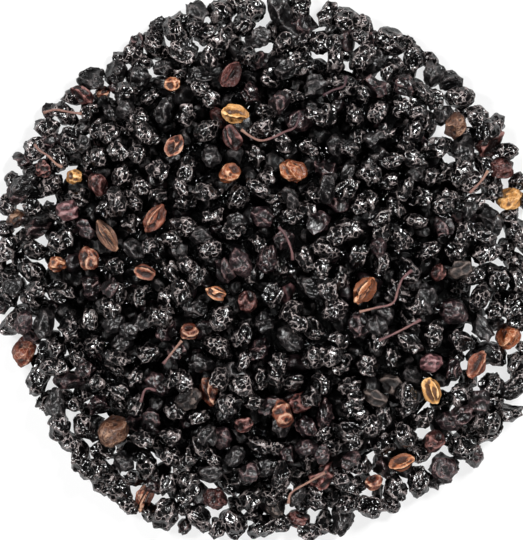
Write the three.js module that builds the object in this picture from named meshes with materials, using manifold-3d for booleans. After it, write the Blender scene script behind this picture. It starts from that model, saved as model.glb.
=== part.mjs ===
// A heap of dried elderberries, tipped out on a flat surface as one low round mound.
// Hundreds of jet black, shrivelled berries make the mound. Among them lie the odd ones that dried
// gold, orange, russet, brown and garnet, and a few thin stalks lie across the top.
// Millimetres, +Z up, with the origin on the surface under the middle of the heap.
import * as THREE from "three";
import { mergeVertices } from "three/addons/utils/BufferGeometryUtils.js";
import Module from "manifold-3d";

const wasm = await Module();
wasm.setup();

// Driving dimensions of the heap
const HALF_X = 47.6; // half of its width
const HALF_Y = 48.8; // half of its depth
const SWELLS = [ // where its outline bulges or dips: direction and half width in degrees, and share
  [328, 17, 0.1],
  [25, 14, 0.045],
  [235, 14, 0.02],
  [125, 14, -0.04],
  [208, 12, -0.03],
  [264, 8, -0.02],
  [90, 9, -0.02],
];
const RIM_LINE = 0.952; // where the outermost berries' centres lie, as a share of the outline
const RIM_HEIGHT = 2.1; // height of those centres
const CROWN_RISE = 8.6; // how much higher the centres lie in the middle
const SLOPE_POWER = 2.3; // flat on top and steeper towards the rim

// Driving dimensions of a berry: its mean size across, and the shares that its axes take of it
const SMALLEST = 3.3;
const SIZE_RANGE = 2.0;
const STRETCH = [1.03, 0.26];
const FLATNESS = [0.8, 0.14];
const MOST_TILT = 0.3; // radians
const LARGE = 4.5; // berries wider than this have six sides, and the others five
const SINK = 0.7; // the core's surface lies this far under the berries' centres
const LIFTS = [-0.4, 0.85]; // lowest lift of a centre from the mound's curve, and the range of lifts

// The core that holds the black berries together: a low mound under their centres
const CORE_SIDES = 48;
const CORE_EDGE = 0.93; // its edge, as a share of the heap's outline
const CORE_BOTTOM = 1.7;
const CORE_LIP = 0.5; // its thickness at the edge

// How many berries there are, and how they are spaced
const TOP_BERRIES = 296;
const FLOOR_BERRIES = 94;
const FLOOR_SPACING = 1.26; // the ones underneath lie wider apart
const GOLDEN_ANGLE = 2.399963;
const SETTLE_PASSES = 120;
const SPACING = 1.13; // centre distance that two settled berries keep, as a share of touching
const CLOSEST = 1.1; // where two end up closer than this share, both are made smaller
const LEAST_WIDTH = 2.2; // a berry that would end up narrower than this is left out
const CORNERS = [0.96, 0.1]; // corners stand out this far, so a few sides keep the true area
const CLEARANCE = 0.36; // air round every loose piece
const RIM_INSET = 2.6; // least distance of a centre from the heap's outline
const FLOOR_GAPS = [0.16, 0.2]; // least height of an underside over the surface, and the range

// Random draws come from seeded streams, so the heap is the same each time.
function randomStream(seed) {
  let state = seed;
  return () => {
    state = (state * 1664525 + 1013904223) % 4294967296;
    return state / 4294967296;
  };
}
const placing = randomStream(7321);
const shaping = randomStream(118);

const degrees = (angle) => (angle * Math.PI) / 180;

// How far the heap's outline stands out towards a place, as a share of an even oval's.
function swellTowards(x, y) {
  const direction = (Math.atan2(y, x) * 180) / Math.PI;
  let swell = 1;
  for (const [middle, halfWidth, share] of SWELLS) {
    const off = (((direction - middle + 540) % 360) - 180) / halfWidth;
    swell += share * Math.exp(-off * off);
  }
  return swell;
}

// A place's distance from the middle, as a share of the outline's.
function shareAt(x, y, halfX = HALF_X, halfY = HALF_Y) {
  return Math.sqrt((x / halfX) ** 2 + (y / halfY) ** 2) / swellTowards(x, y);
}

// Height of the berries' centres over the surface, as a function of the place in the heap.
function centreHeight(x, y) {
  const share = shareAt(x, y) / RIM_LINE;
  const swell = 0.5 * Math.sin(0.13 * x + 0.6) * Math.cos(0.11 * y - 0.4);
  const rise = CROWN_RISE * (1 - Math.min(1, share) ** SLOPE_POWER);
  return RIM_HEIGHT + rise + swell * Math.max(0, 1 - share);
}

// Height of the core's upper surface.
function coreTop(x, y) {
  return Math.max(centreHeight(x, y) - SINK, CORE_BOTTOM + CORE_LIP);
}

// A black berry with drawn size, axes and turns, at a place that is settled afterwards.
function drawBerry(x, y) {
  const across = SMALLEST + (SIZE_RANGE * (placing() + placing())) / 2;
  const stretch = STRETCH[0] + STRETCH[1] * placing();
  const tall = across * (FLATNESS[0] + FLATNESS[1] * placing());
  return {
    x, y, across, tall,
    long: across * stretch,
    wide: across / stretch,
    turn: 2 * Math.PI * placing(),
    tiltX: MOST_TILT * (2 * placing() - 1),
    tiltY: MOST_TILT * (2 * placing() - 1),
    lift: LIFTS[0] + LIFTS[1] * placing(),
    slack: 1.9 * placing() * placing(), // how far short of the outline it stays
    fixed: false,
  };
}

// Settled berries that still lie too close are each made a little smaller.
function trimTouching(berries) {
  for (const a of berries) {
    for (const b of berries) {
      if (a === b || a.tone) continue;
      const angle = Math.atan2(b.y - a.y, b.x - a.x);
      const room = Math.hypot(b.x - a.x, b.y - a.y) - (b.tone ? CLEARANCE : 0);
      const share = room / (reachTowards(a, angle) + reachTowards(b, angle)) / CLOSEST;
      if (share >= 1) continue;
      a.long *= share;
      a.wide *= share;
    }
  }
}

// Berries on a sunflower spiral, shaken out of its order.
function spread(count, halfX, halfY, jitter) {
  const made = [];
  for (let i = 0; i < count; i++) {
    const angle = i * GOLDEN_ANGLE;
    const reach = Math.sqrt((i + 0.5) / count) * swellTowards(Math.cos(angle), Math.sin(angle));
    const shakeX = jitter * (2 * placing() - 1);
    const shakeY = jitter * (2 * placing() - 1);
    const x = halfX * reach * Math.cos(angle) + shakeX;
    const y = halfY * reach * Math.sin(angle) + shakeY;
    made.push(drawBerry(x, y));
  }
  return made;
}

// Half the width of a berry in a direction that is seen from above.
function reachTowards(b, angle) {
  const along = Math.cos(angle - b.turn) / (b.long / 2);
  const across = Math.sin(angle - b.turn) / (b.wide / 2);
  return 1 / Math.sqrt(along * along + across * across);
}

// The distance that two berries' centres keep, with air between them where one is a loose piece.
function keptApart(a, b, angle, spacing) {
  const touching = reachTowards(a, angle) + reachTowards(b, angle);
  return touching * spacing + (a.tone || b.tone ? CLEARANCE + 0.1 : 0);
}

// Berries that are too close push each other apart, and the outline keeps them in.
function settle(berries, halfX, halfY, spacing) {
  for (let pass = 0; pass < SETTLE_PASSES; pass++) {
    for (let i = 0; i < berries.length; i++) {
      const a = berries[i];
      for (let j = i + 1; j < berries.length; j++) {
        const b = berries[j];
        const dx = b.x - a.x;
        const dy = b.y - a.y;
        const distance = Math.sqrt(dx * dx + dy * dy);
        if (distance > 8 || (a.fixed && b.fixed)) continue;
        const apart = keptApart(a, b, Math.atan2(dy, dx), spacing);
        if (distance >= apart) continue;
        const push = (apart - distance) / Math.max(distance, 0.01);
        const shareA = a.fixed ? 0 : b.fixed ? 1 : 0.5;
        a.x -= dx * push * shareA;
        a.y -= dy * push * shareA;
        b.x += dx * push * (1 - shareA);
        b.y += dy * push * (1 - shareA);
      }
      const inside = Math.max(RIM_INSET, a.across / 2 + a.slack);
      const out = shareAt(a.x, a.y, halfX - inside, halfY - inside);
      if (out > 1 && !a.fixed) {
        a.x /= out;
        a.y /= out;
      }
    }
  }
}

// The berries that dried in other colours: [x, y, long, wide, turn in degrees].
const TONES = {
  gold: { color: 0xc58a2c, places: [
    [-4.7, 26.8, 4.8, 3.4, -12],
    [-32.9, 16.0, 2.8, 2.6, 0],
    [43.6, 12.2, 4.8, 4.2, 30],
    [29.6, -21.4, 4.7, 3.2, -70],
  ] },
  orange: { color: 0xb5602a, places: [
    [5.4, 16.9, 4.9, 3.8, -25],
    [43.4, -11.9, 5.0, 4.3, 75],
    [24.5, -34.1, 4.6, 3.0, 18],
    [17.8, -3.9, 5.3, 3.6, 55],
    [-35.8, 0.6, 3.2, 2.7, -10],
    [-5.7, 16.5, 3.9, 3.1, 35],
    [-15.7, 32.2, 2.8, 2.6, 40],
    [-8.1, -4.3, 3.6, 2.3, -20],
  ] },
  russet: { color: 0x8c3d22, places: [
    [-30.2, 1.7, 4.2, 3.5, -60],
    [-18.6, 8.6, 5.6, 3.2, 55],
    [-20.4, -0.7, 3.7, 2.6, -15],
    [-42.0, -14.8, 5.4, 4.1, 80],
    [-15.2, 21.2, 4.2, 3.0, 55],
    [-28.0, 30.8, 2.9, 2.7, 20],
    [-12.6, -11.0, 3.2, 2.8, 10],
    [37.6, -16.9, 5.2, 3.4, 60],
    [-20.8, -40.4, 5.4, 3.1, 70],
    [19.6, -37.6, 3.3, 2.6, 30],
  ] },
  brown: { color: 0x6d4029, places: [
    [-27.0, 5.6, 6.2, 2.9, -58],
    [-26.0, -28.5, 5.8, 4.9, 60],
    [-43.4, 8.7, 3.8, 3.0, 50],
    [33.9, 25.0, 4.6, 3.6, 65],
  ] },
  garnet: { color: 0x57201d, places: [
    [-5.2, 22.6, 4.6, 3.1, -65],
    [-2.5, -5.9, 3.8, 3.3, 80],
    [30.8, -0.8, 3.1, 2.6, 75],
    [6.3, -44.2, 4.3, 3.3, 0],
    [-8.1, -40.3, 4.3, 3.7, -30],
    [42.2, 17.6, 4.6, 4.1, 20],
    [-28.6, 14.6, 4.3, 3.2, -60],
    [-5.4, 33.7, 5.0, 3.5, 55],
    [-3.2, -27.3, 3.3, 2.7, 25],
    [30.1, -30.3, 4.0, 3.5, 40],
  ] },
};
const LOOSE_FLATNESS = 0.88; // a coloured berry's height, as a share of its width

// A coloured berry stays where it lies, and rests on the core between the black ones.
function placedBerry([x, y, long, wide, turn]) {
  const tall = wide * LOOSE_FLATNESS;
  return {
    x, y, long, wide, tall, lift: 0, slack: 0, fixed: true,
    across: Math.sqrt(long * wide),
    turn: degrees(turn),
    tiltX: 0.12 * (2 * shaping() - 1),
    tiltY: 0.12 * (2 * shaping() - 1),
  };
}

// Berries that reach past the core's edge lie on the surface, at the rim of the heap.
function isRim(b) {
  const edge = CORE_EDGE - 0.012;
  return shareAt(b.x, b.y) + reachTowards(b, Math.atan2(b.y, b.x)) / HALF_X > edge;
}

// Height of a berry's centre. A coloured one rests on the core, clear of it, or on the surface.
function restHeight(b) {
  if (b.fixed && isRim(b)) return b.tall / 2 + FLOOR_GAPS[0];
  const onCore = b.fixed ? b.tall / 2 + CLEARANCE + 0.12 - SINK : b.lift;
  return centreHeight(b.x, b.y) + onCore;
}

const coloured = [];
for (const [tone, { places }] of Object.entries(TONES)) {
  places.forEach((place, i) => {
    coloured.push({ ...placedBerry(place), tone, name: `${tone}_berry_${i + 1}` });
  });
}
const spreadOut = spread(TOP_BERRIES, HALF_X, HALF_Y, 1.6);
settle([...coloured, ...spreadOut], HALF_X, HALF_Y, SPACING);
trimTouching([...coloured, ...spreadOut]);
const black = spreadOut.filter((b) => b.wide > LEAST_WIDTH);
for (const b of [...coloured, ...black]) b.z = restHeight(b);

// The berries underneath. The middle one and three more round the weight stand lowest, each on a
// small flat spot, so the heap rests on three points.
const FOOT_RING = 31;
const FOOT_ANGLES = [90, 210, 330];
const FLOOR_EDGE = 4.5; // how far inside the heap's outline they end
const floorHalfX = HALF_X - FLOOR_EDGE;
const floorHalfY = HALF_Y - FLOOR_EDGE;
const feet = [[0, 0], ...FOOT_ANGLES.map((angle) => [
  FOOT_RING * Math.cos(degrees(angle)),
  FOOT_RING * Math.sin(degrees(angle)),
])].map(([x, y]) => ({ ...drawBerry(x, y), fixed: true }));
const floorBerries = [...feet, ...spread(FLOOR_BERRIES, floorHalfX, floorHalfY, 1.6)];
settle(floorBerries, floorHalfX, floorHalfY, FLOOR_SPACING);
for (const b of floorBerries) {
  b.tiltX *= b.fixed ? 0 : 0.3;
  b.tiltY *= b.fixed ? 0 : 0.3;
  b.z = 0;
}

// Three.js geometry as a closed solid, and back.
function solidFrom(geometry) {
  const bare = geometry.clone();
  bare.deleteAttribute("normal");
  bare.deleteAttribute("uv");
  const merged = mergeVertices(bare, 1e-4);
  return new wasm.Manifold(new wasm.Mesh({
    numProp: 3,
    vertProperties: new Float32Array(merged.attributes.position.array),
    triVerts: new Uint32Array(merged.index.array),
  }));
}

function geometryFrom(solid) {
  const { vertProperties, triVerts } = solid.getMesh();
  const geometry = new THREE.BufferGeometry();
  geometry.setAttribute("position", new THREE.BufferAttribute(vertProperties, 3));
  geometry.setIndex(new THREE.BufferAttribute(triVerts, 1));
  geometry.computeVertexNormals();
  return geometry;
}

// The matrix that carries a berry of unit radius to its size, turn and place.
function berryMatrix(b, extra = 0) {
  const size = new THREE.Vector3(b.long / 2 + extra, b.wide / 2 + extra, b.tall / 2 + extra);
  const turn = new THREE.Quaternion().setFromEuler(new THREE.Euler(b.tiltX, b.tiltY, b.turn, "ZYX"));
  return new THREE.Matrix4().compose(new THREE.Vector3(b.x, b.y, b.z), turn, size);
}

// The corners of an uneven outline round a berry of unit radius.
function unevenOutline(b) {
  const sides = b.across > LARGE ? 6 : 5;
  return Array.from({ length: sides }, (_, k) => {
    const angle = (2 * Math.PI * (k + 0.25 * shaping())) / sides;
    const lump = CORNERS[0] + CORNERS[1] * shaping();
    return [lump * Math.cos(angle), lump * Math.sin(angle)];
  });
}

// Points and faces of one closed surface. Rings of points are kept as the number of their first
// point, and all rings of a berry have the same number of points.
class Surface {
  points = [];
  faces = [];

  ring(places) {
    this.points.push(...places);
    return this.points.length - places.length;
  }

  band(sides, low, high) {
    for (let k = 0; k < sides; k++) {
      const next = (k + 1) % sides;
      this.faces.push([low + k, low + next, high + next], [low + k, high + next, high + k]);
    }
  }

  fan(sides, ring, tip) {
    for (let k = 0; k < sides; k++) this.faces.push([ring + k, ring + ((k + 1) % sides), tip]);
  }

  cap(sides, ring, turned) {
    for (let k = 1; k + 1 < sides; k++) {
      this.faces.push(turned ? [ring, ring + k + 1, ring + k] : [ring, ring + k, ring + k + 1]);
    }
  }

  // Fills what lies between an outer ring and the feet of the berries on it.
  between(outer, feet, facingUp) {
    const flat = ({ start, sides }) => Array.from({ length: sides }, (_, k) =>
      new THREE.Vector2(...this.points[start + k].slice(0, 2)));
    const numbers = [outer, ...feet].flatMap(({ start, sides }) =>
      Array.from({ length: sides }, (_, k) => start + k));
    for (const face of THREE.ShapeUtils.triangulateShape(flat(outer), feet.map(flat))) {
      const [a, b, c] = face.map((i) => this.points[numbers[i]]);
      const turn = (b[0] - a[0]) * (c[1] - a[1]) - (b[1] - a[1]) * (c[0] - a[0]);
      const ordered = turn > 0 === facingUp ? face : [face[0], face[2], face[1]];
      this.faces.push(ordered.map((i) => numbers[i]));
    }
  }

  geometry() {
    const geometry = new THREE.BufferGeometry();
    geometry.setAttribute("position", new THREE.Float32BufferAttribute(this.points.flat(), 3));
    geometry.setIndex(this.faces.flat());
    return geometry;
  }
}

// A berry's outline at one of its levels: scaled, lifted, turned, tilted and put in its place.
function levelOf(b, corners, { height, radius }) {
  const matrix = berryMatrix(b);
  return corners.map(([x, y]) =>
    new THREE.Vector3(x * radius, y * radius, height).applyMatrix4(matrix).toArray());
}

// A whole berry, from a small flat spot underneath to its tip.
const WHOLE = [
  { height: -0.98, radius: 0.42 },
  { height: -0.2, radius: 1.0 },
  { height: 0.62, radius: 0.72 },
];
function wholeBerry(b) {
  const surface = new Surface();
  const corners = unevenOutline(b);
  const rings = WHOLE.map((level) => surface.ring(levelOf(b, corners, level)));
  const tip = surface.ring(levelOf(b, [[0.1, 0.05]], { height: 1, radius: 1 }));
  surface.cap(corners.length, rings[0], true);
  surface.band(corners.length, rings[0], rings[1]);
  surface.band(corners.length, rings[1], rings[2]);
  surface.fan(corners.length, rings[2], tip);
  return standingAt(solidFrom(surface.geometry()), FLOOR_GAPS[0]);
}

// A berry that stands out of the core's upper surface, from its foot there to its tip.
const SHOULDER = { height: 0.56, radius: 0.74 };
function raiseBerry(surface, b) {
  const corners = unevenOutline(b);
  const foot = levelOf({ ...b, tiltX: 0, tiltY: 0 }, corners, { height: 0, radius: 1 })
    .map(([x, y]) => [x, y, coreTop(x, y)]);
  const start = surface.ring(foot);
  const shoulder = surface.ring(levelOf(b, corners, SHOULDER));
  const tip = surface.ring(levelOf(b, [[0.08, 0.05]], { height: 1, radius: 1 }));
  surface.band(corners.length, start, shoulder);
  surface.fan(corners.length, shoulder, tip);
  return { start, sides: corners.length };
}

// A berry that stands out underneath, from the core's lower surface to a small flat spot.
const SPOT = { height: -1, radius: 0.5 };
function hangBerry(surface, b) {
  const corners = unevenOutline(b);
  const gap = b.fixed ? 0 : FLOOR_GAPS[0] + FLOOR_GAPS[1] * shaping();
  const lying = { ...b, z: gap + b.tall / 2 };
  const foot = levelOf(lying, corners, { height: 0, radius: 1 }).map(([x, y]) => [x, y, CORE_BOTTOM]);
  const start = surface.ring(foot);
  const spot = surface.ring(levelOf(lying, corners, SPOT));
  surface.band(corners.length, spot, start);
  surface.cap(corners.length, spot, true);
  return { start, sides: corners.length };
}

// A berry lifted or lowered until its lowest point has a given height over the surface.
function standingAt(solid, height) {
  return solid.translate([0, 0, height - solid.boundingBox().min[2]]);
}

// A loose berry: an icosphere pulled into a few lengthwise ribs, as dried skin puckers.
function looseBerryGeometry(b) {
  const geometry = mergeVertices(bareIcosphere(1), 1e-4);
  const ribs = 3 + Math.floor(2 * shaping());
  const phase = 6.28 * shaping();
  const bend = 0.12 * (2 * shaping() - 1);
  const p = new THREE.Vector3();
  const position = geometry.attributes.position;
  for (let i = 0; i < position.count; i++) {
    p.fromBufferAttribute(position, i);
    const round = Math.hypot(p.y, p.z);
    const rib = 0.08 * round * Math.cos(ribs * Math.atan2(p.z, p.y) + phase);
    const lump = 0.04 * Math.sin(4.1 * p.x + phase);
    const scale = 0.88 + rib + lump;
    position.setXYZ(i, p.x, p.y * scale + bend * (0.3 - p.x * p.x), p.z * scale);
  }
  return geometry.applyMatrix4(berryMatrix(b));
}

function bareIcosphere(detail) {
  const geometry = new THREE.IcosahedronGeometry(1, detail);
  geometry.deleteAttribute("normal");
  geometry.deleteAttribute("uv");
  return geometry;
}

// Stalks, each lying over the berries: [x, y] along its length, drawn as a smooth curve.
const STALK_RADIUS = 0.3;
const STALK_STEP = 1.8;
const STALK_SIDES = 6;
const STALKS = [
  [[-3.6, 24.0], [-2.1, 22.9], [-0.2, 22.1], [1.8, 22.6], [3.9, 23.6], [5.8, 24.5], [6.6, 27.0]],
  [[10.7, 30.1], [12.4, 31.0], [14.3, 31.7], [14.6, 33.4]],
  [[39.5, 17.0], [38.3, 15.2], [36.3, 13.1]],
  [[-13.9, -12.6], [-15.4, -14.4], [-17.1, -16.6]],
  [[2.9, 7.1], [4.2, 5.4], [5.1, 3.0], [5.3, 1.4]],
  [[16.9, -7.6], [19.8, -6.9], [22.7, -6.1], [23.6, -3.7], [24.4, -1.8], [26.0, -0.4]],
  [[20.3, -12.6], [23.8, -11.0], [27.6, -9.0]],
  [[11.0, -35.7], [7.9, -37.5], [5.1, -39.3], [4.6, -41.2]],
  [[-39.8, 21.6], [-39.0, 20.6], [-37.4, 19.6], [-36.0, 18.2], [-34.9, 17.6]],
  [[-38.4, 27.3], [-36.2, 27.8], [-33.6, 27.3], [-31.6, 27.0]],
  [[-21.1, -23.3], [-20.2, -21.0], [-18.4, -21.3]],
];

// Height of the heap's outer surface at a place: the highest berry there.
function surfaceHeight(x, y) {
  let highest = coreTop(x, y);
  for (const b of [...coloured, ...black]) {
    const reach = b.long / 2 + 0.2;
    const off = ((b.x - x) ** 2 + (b.y - y) ** 2) / (reach * reach);
    if (off < 1) highest = Math.max(highest, b.z + (b.tall / 2 + 0.15) * Math.sqrt(1 - off));
  }
  return highest;
}

// A stalk stays taut over the berries' tops: each point is as high as the highest berry under it
// and beside it.
function stalkGeometry(places) {
  const plan = new THREE.CatmullRomCurve3(places.map(([x, y]) => new THREE.Vector3(x, y, 0)));
  const steps = Math.max(3, Math.round(plan.getLength() / STALK_STEP));
  const plane = plan.getSpacedPoints(steps * 3);
  const heights = plane.map(({ x, y }) => surfaceHeight(x, y));
  const route = [];
  for (let i = 0; i <= steps * 3; i += 3) {
    const near = heights.slice(Math.max(0, i - 3), i + 4);
    route.push(new THREE.Vector3(plane[i].x, plane[i].y,
      Math.max(...near) + STALK_RADIUS + CLEARANCE));
  }
  const section = new THREE.Shape();
  for (let k = 0; k < STALK_SIDES; k++) {
    const angle = (2 * Math.PI * k) / STALK_SIDES;
    const [x, y] = [STALK_RADIUS * Math.cos(angle), STALK_RADIUS * Math.sin(angle)];
    if (k === 0) section.moveTo(x, y);
    else section.lineTo(x, y);
  }
  section.closePath();
  return new THREE.ExtrudeGeometry(section, {
    steps, extrudePath: new THREE.CatmullRomCurve3(route), bevelEnabled: false,
  });
}

const skin = (color, roughness) => new THREE.MeshStandardMaterial({ color, roughness, metalness: 0 });
const heap = new THREE.Group();
function addPiece(name, geometry, material) {
  const mesh = new THREE.Mesh(geometry, material);
  mesh.name = name;
  heap.add(mesh);
}

// The core's surface with the berries that stand out of it on both sides.
function mound(topBerries, lowBerries) {
  const surface = new Surface();
  const edge = (share, heightAt) => Array.from({ length: CORE_SIDES }, (_, k) => {
    const angle = (2 * Math.PI * k) / CORE_SIDES;
    const out = share * swellTowards(HALF_X * Math.cos(angle), HALF_Y * Math.sin(angle));
    const [x, y] = [out * HALF_X * Math.cos(angle), out * HALF_Y * Math.sin(angle)];
    return [x, y, heightAt(x, y)];
  });
  const upper = surface.ring(edge(CORE_EDGE, coreTop));
  const lower = surface.ring(edge(CORE_EDGE, () => CORE_BOTTOM));
  surface.band(CORE_SIDES, lower, upper);
  const tops = topBerries.map((b) => raiseBerry(surface, b));
  const lows = lowBerries.map((b) => hangBerry(surface, b));
  surface.between({ start: upper, sides: CORE_SIDES }, tops, true);
  surface.between({ start: lower, sides: CORE_SIDES }, lows, false);
  return solidFrom(surface.geometry());
}

// The black berries, joined and cut clear of every coloured berry.
const rim = black.filter(isRim);
const pieces = [mound(black.filter((b) => !isRim(b)), floorBerries), ...rim.map(wholeBerry)];
const room = coloured.map((b) =>
  solidFrom(bareIcosphere(1).applyMatrix4(berryMatrix(b, CLEARANCE + 0.08))));
const blackMass = wasm.Manifold.union(pieces).subtract(wasm.Manifold.union(room));
addPiece("black_berries", geometryFrom(blackMass), skin(0x0e0c0e, 0.42));

for (const b of coloured) {
  addPiece(b.name, looseBerryGeometry(b), skin(TONES[b.tone].color, 0.5));
}
STALKS.forEach((places, i) => {
  addPiece(`stalk_${i + 1}`, stalkGeometry(places), skin(0x8a5a4a, 0.6));
});

export default heap;
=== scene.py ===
import bpy
import math
import numpy as np
from mathutils import Euler, Matrix, Vector


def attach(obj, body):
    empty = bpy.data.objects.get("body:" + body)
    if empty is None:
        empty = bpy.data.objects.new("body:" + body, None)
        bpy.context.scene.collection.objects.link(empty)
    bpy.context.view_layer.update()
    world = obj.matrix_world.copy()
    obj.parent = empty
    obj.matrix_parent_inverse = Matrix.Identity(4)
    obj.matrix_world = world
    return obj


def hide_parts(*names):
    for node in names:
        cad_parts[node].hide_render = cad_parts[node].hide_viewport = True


# A heap of dried elderberries on a white surface, seen from straight above.
# Places and sizes in the dictionaries are in millimetres, and the meshes are in metres.
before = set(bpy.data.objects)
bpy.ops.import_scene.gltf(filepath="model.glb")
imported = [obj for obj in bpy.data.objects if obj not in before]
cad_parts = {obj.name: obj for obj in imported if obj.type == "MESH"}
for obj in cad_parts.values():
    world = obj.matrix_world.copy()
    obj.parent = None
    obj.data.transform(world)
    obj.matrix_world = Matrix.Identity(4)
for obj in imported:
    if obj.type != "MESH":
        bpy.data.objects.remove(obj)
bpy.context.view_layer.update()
mm = 0.001

heap = {
    "halfX": 47.6,  # half of its width
    "halfY": 48.8,  # half of its depth
    # where its outline bulges or dips: direction and half width in degrees, and share
    "swells": (
        (328, 17, 0.1), (25, 14, 0.045), (235, 14, 0.02), (125, 14, -0.04),
        (208, 12, -0.03), (264, 8, -0.02), (90, 9, -0.02),
    ),
    "rimLine": 0.952,  # where the outermost centres lie, as a share of the outline
    "rimHeight": 2.1,
    "crownRise": 8.6,
    "slopePower": 2.3,
    "coreEdge": 0.93,
    "coreSink": 0.7,
    "coreLowest": 2.2,
    "topBerries": 296,
    "lowBerries": 94,
    "spacing": 1.13,
    "lowSpacing": 1.26,
    "closest": 1.1,
    "leastWidth": 2.2,
    "passes": 120,
    "clearance": 0.36,
    "rimInset": 2.6,
    "floorGap": 0.16,
    "near": 8,  # centres farther apart than this don't touch
    "shake": 1.6,  # how far a centre strays from its place on the spiral
    "rimMargin": 0.012,
    "waves": (0.5, 0.13, 0.6, 0.11, -0.4),  # its surface's slow swell: height, and pace and start each way
    "lowestSkin": 0.05,
    "seat": 0.12,  # how much higher than its clearance a coloured berry sits
    "colouredGap": 0.1,
}
goldenAngle = 2.399963

berrySize = {
    "smallest": 3.3,
    "range": 2.0,
    "stretch": (1.03, 0.26),
    "flatness": (0.8, 0.14),
    "tilt": 0.3,
    "lift": (-0.4, 0.85),
    "slack": 1.9,
}


# the same seeded draws each run
def randomStream(seed):
    state = seed

    def draw():
        nonlocal state
        state = (state * 1664525 + 1013904223) % 4294967296
        return state / 4294967296

    return draw


# a value between a band's least and its range above that
def within(band, draw):
    return band[0] + band[1] * draw()


placing = randomStream(7321)
shaping = randomStream(118)
picking = randomStream(4409)
nesting = randomStream(902)


# how far the outline stands out towards a place, as a share of an even oval's
def swellTowards(x, y):
    direction = math.degrees(math.atan2(y, x))
    swell = 1
    for middle, halfWidth, share in heap["swells"]:
        off = ((direction - middle + 540) % 360 - 180) / halfWidth
        swell += share * math.exp(-off * off)
    return swell


# a place's distance from the middle, as a share of the outline's
def shareAt(x, y, halfX=heap["halfX"], halfY=heap["halfY"]):
    return math.sqrt((x / halfX) ** 2 + (y / halfY) ** 2) / swellTowards(x, y)


def centreHeight(x, y):
    share = shareAt(x, y) / heap["rimLine"]
    height, paceX, startX, paceY, startY = heap["waves"]
    swell = height * math.sin(paceX * x + startX) * math.cos(paceY * y + startY)
    rise = heap["crownRise"] * (1 - min(1, share) ** heap["slopePower"])
    return heap["rimHeight"] + rise + swell * max(0, 1 - share)


def drawBerry(x, y):
    size = berrySize
    across = size["smallest"] + size["range"] * (placing() + placing()) / 2
    stretch = within(size["stretch"], placing)
    tall = across * within(size["flatness"], placing)
    return {
        "x": x, "y": y, "across": across, "tall": tall,
        "long": across * stretch, "wide": across / stretch,
        "turn": 2 * math.pi * placing(),
        "tiltX": size["tilt"] * (2 * placing() - 1),
        "tiltY": size["tilt"] * (2 * placing() - 1),
        "lift": within(size["lift"], placing),
        "slack": size["slack"] * placing() * placing(),
        "fixed": False, "tone": None,
    }


# berries on a sunflower spiral, shaken out of its order
def spread(count, halfX, halfY):
    made = []
    for i in range(count):
        angle = i * goldenAngle
        reach = math.sqrt((i + 0.5) / count) * swellTowards(math.cos(angle), math.sin(angle))
        shakeX = heap["shake"] * (2 * placing() - 1)
        shakeY = heap["shake"] * (2 * placing() - 1)
        made.append(drawBerry(halfX * reach * math.cos(angle) + shakeX,
                              halfY * reach * math.sin(angle) + shakeY))
    return made


def reachTowards(b, angle):
    along = math.cos(angle - b["turn"]) / (b["long"] / 2)
    across = math.sin(angle - b["turn"]) / (b["wide"] / 2)
    return 1 / math.sqrt(along * along + across * across)


# berries that are too close push each other apart, and the outline keeps them in
def settle(berries, halfX, halfY, spacing):
    for _ in range(heap["passes"]):
        for i, a in enumerate(berries):
            for b in berries[i + 1:]:
                dx = b["x"] - a["x"]
                dy = b["y"] - a["y"]
                if abs(dx) > heap["near"] or abs(dy) > heap["near"] or (a["fixed"] and b["fixed"]):
                    continue
                distance = math.sqrt(dx * dx + dy * dy)
                if distance > heap["near"]:
                    continue
                angle = math.atan2(dy, dx)
                apart = (reachTowards(a, angle) + reachTowards(b, angle)) * spacing
                if a["tone"] or b["tone"]:
                    apart += heap["clearance"] + heap["colouredGap"]
                if distance >= apart:
                    continue
                push = (apart - distance) / max(distance, 0.01)
                shareA = 0 if a["fixed"] else 1 if b["fixed"] else 0.5
                a["x"] -= dx * push * shareA
                a["y"] -= dy * push * shareA
                b["x"] += dx * push * (1 - shareA)
                b["y"] += dy * push * (1 - shareA)
            inside = max(heap["rimInset"], a["across"] / 2 + a["slack"])
            out = shareAt(a["x"], a["y"], halfX - inside, halfY - inside)
            if out > 1 and not a["fixed"]:
                a["x"] /= out
                a["y"] /= out


def trimTouching(berries):
    for a in berries:
        for b in berries:
            if a is b or a["tone"]:
                continue
            gap = math.hypot(b["x"] - a["x"], b["y"] - a["y"])
            if gap > heap["near"]:
                continue
            angle = math.atan2(b["y"] - a["y"], b["x"] - a["x"])
            room = gap - (heap["clearance"] if b["tone"] else 0)
            share = room / (reachTowards(a, angle) + reachTowards(b, angle)) / heap["closest"]
            if share < 1:
                a["long"] *= share
                a["wide"] *= share


def isRim(b):
    outward = reachTowards(b, math.atan2(b["y"], b["x"]))
    return shareAt(b["x"], b["y"]) + outward / heap["halfX"] > heap["coreEdge"] - heap["rimMargin"]


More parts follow.
